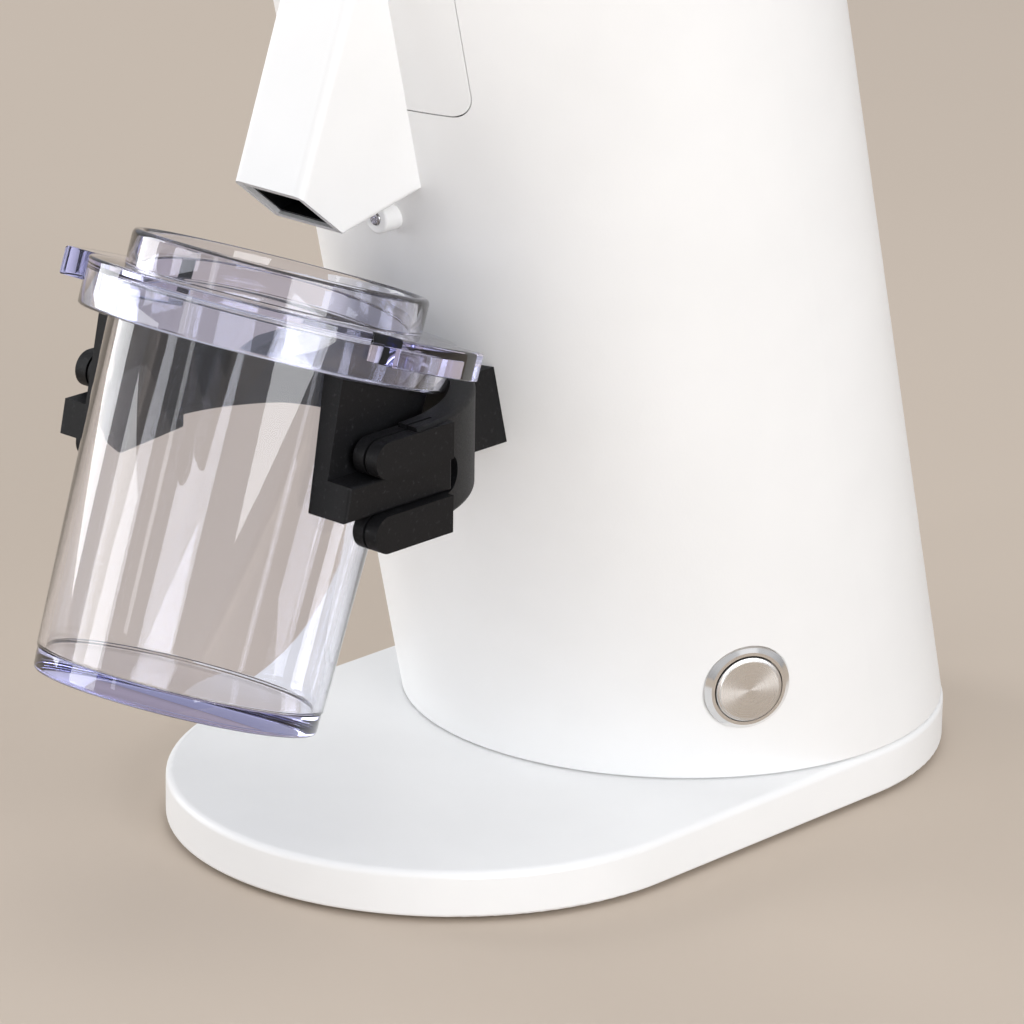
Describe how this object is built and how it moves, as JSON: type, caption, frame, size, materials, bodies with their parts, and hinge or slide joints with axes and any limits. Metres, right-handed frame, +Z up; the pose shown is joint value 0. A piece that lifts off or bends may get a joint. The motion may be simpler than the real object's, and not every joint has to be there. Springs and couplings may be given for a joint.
{
  "type": "burr coffee grinder",
  "caption": "Burr coffee grinder: leaning round tower on a flat rounded base, angular chute, clear dosing cup and ring in a front fork, side push button, dial and hopper on top.",
  "frame": {"origin": "on the standing surface, at the centre of the rear round end of the base, under the middle of the tower foot", "axes": "+X to the right seen from the front, -Y towards the front (chute side), +Z up"},
  "size_m": [0.15, 0.3005, 0.3828],
  "materials": {
    "white_coat": "satin powder coat",
    "black_plastic": "matt, fine grain",
    "clear_plastic": "clear, polished",
    "turned_steel": "fine turned",
    "screw_steel": "plain",
    "shaft_steel": "ground",
    "burr_steel": "ground tool steel",
    "core_steel": "laminated",
    "cast_aluminium": "machined",
    "black_anodised": "matt black anodised",
    "copper_wire": "enamelled winding",
    "contact_brass": "plain",
    "soft_rubber": "matt",
    "board_green": "solder mask",
    "board_black": "moulded"
  },
  "bodies": {
    "grinder": {"base_plate": "white_coat", "tower_shell": "white_coat", "front_panel": "white_coat", "chute": "white_coat", "outlet_stud": "white_coat", "fork": "black_plastic", "chute_liner": "black_plastic", "power_inlet": "black_plastic", "switch_body": "black_plastic", "stud_pin": "turned_steel", "button_bezel": "turned_steel", "base_screws": "screw_steel", "panel_screws": "screw_steel", "chute_screws": "screw_steel", "stud_nut": "screw_steel", "fork_screws": "screw_steel", "button_nut": "screw_steel", "chassis_screws": "screw_steel", "fork_backing_plate": "screw_steel", "panel_frame": "screw_steel", "motor_bearings": "shaft_steel", "shaft_bearings": "shaft_steel", "bearing_spacer": "shaft_steel", "motor_stator": "core_steel", "motor_plate": "cast_aluminium", "motor_end_cap": "cast_aluminium", "motor_can": "cast_aluminium", "chamber_body": "cast_aluminium", "deck_ring": "cast_aluminium", "motor_windings": "copper_wire", "inlet_pins": "contact_brass", "foot_pad": "soft_rubber", "control_board": "board_green", "board_parts": "board_black", "board_posts": "board_black"},
    "holder": {"cup_holder": "black_plastic"},
    "cup": {"cup_base": "clear_plastic", "cup_tube": "clear_plastic"},
    "ring": {"dosing_ring": "clear_plastic"},
    "button": {"button_cap": "turned_steel", "button_spring": "screw_steel"},
    "drive": {"motor_rotor": "core_steel", "motor_shaft": "shaft_steel", "cooling_fan": "black_plastic", "shaft_coupling": "cast_aluminium", "coupling_spider": "soft_rubber", "burr_shaft": "shaft_steel", "lower_burr_carrier": "cast_aluminium", "lower_burr": "burr_steel", "lower_burr_screws": "screw_steel", "carrier_nut": "screw_steel"},
    "upper_carrier": {"upper_burr": "burr_steel", "upper_burr_screws": "screw_steel", "upper_burr_carrier": "cast_aluminium"},
    "dial": {"dial": "black_anodised", "hopper": "clear_plastic", "hopper_throat": "clear_plastic"},
    "lid": {"lid": "clear_plastic", "lid_seal": "soft_rubber", "lid_knob": "turned_steel"}
  },
  "joints": [
    {"name": "button_press", "type": "slide", "parent": "grinder", "child": "button", "axis": [-0.8635, 0.5006, 0.061], "range_m": [0, 0.0015], "stiffness_N_per_m": 400, "springref_m": -0.0005},
    {"name": "burr_spin", "type": "hinge", "parent": "grinder", "child": "drive", "pos_m": [0, 0, 0.014], "axis": [0, -0.2425, 0.9701], "continuous": true},
    {"name": "dial_turn", "type": "hinge", "parent": "grinder", "child": "dial", "pos_m": [0, 0, 0.014], "axis": [0, -0.2425, 0.9701], "range_deg": [-140, 140]},
    {"name": "carrier_rise", "type": "slide", "parent": "dial", "child": "upper_carrier", "axis": [0, -0.2425, 0.9701], "range_m": [-0.0004, 0.0004]},
    {"name": "lid_lift", "type": "slide", "parent": "dial", "child": "lid", "axis": [0, -0.2425, 0.9701], "range_m": [0, 0.06]},
    {"name": "holder_slide", "type": "slide", "parent": "grinder", "child": "holder", "axis": [0, -1, 0], "range_m": [0, 0.06]},
    {"name": "cup_lift", "type": "slide", "parent": "holder", "child": "cup", "axis": [0, 0.3368, 0.9416], "range_m": [0, 0.005]},
    {"name": "ring_lift", "type": "slide", "parent": "cup", "child": "ring", "axis": [0, 0.3368, 0.9416], "range_m": [0, 0.0045]}
  ],
  "couplings": [
    {"joint": "carrier_rise", "follows": "dial_turn", "m_per_rad": 0.00015915}
  ]
}
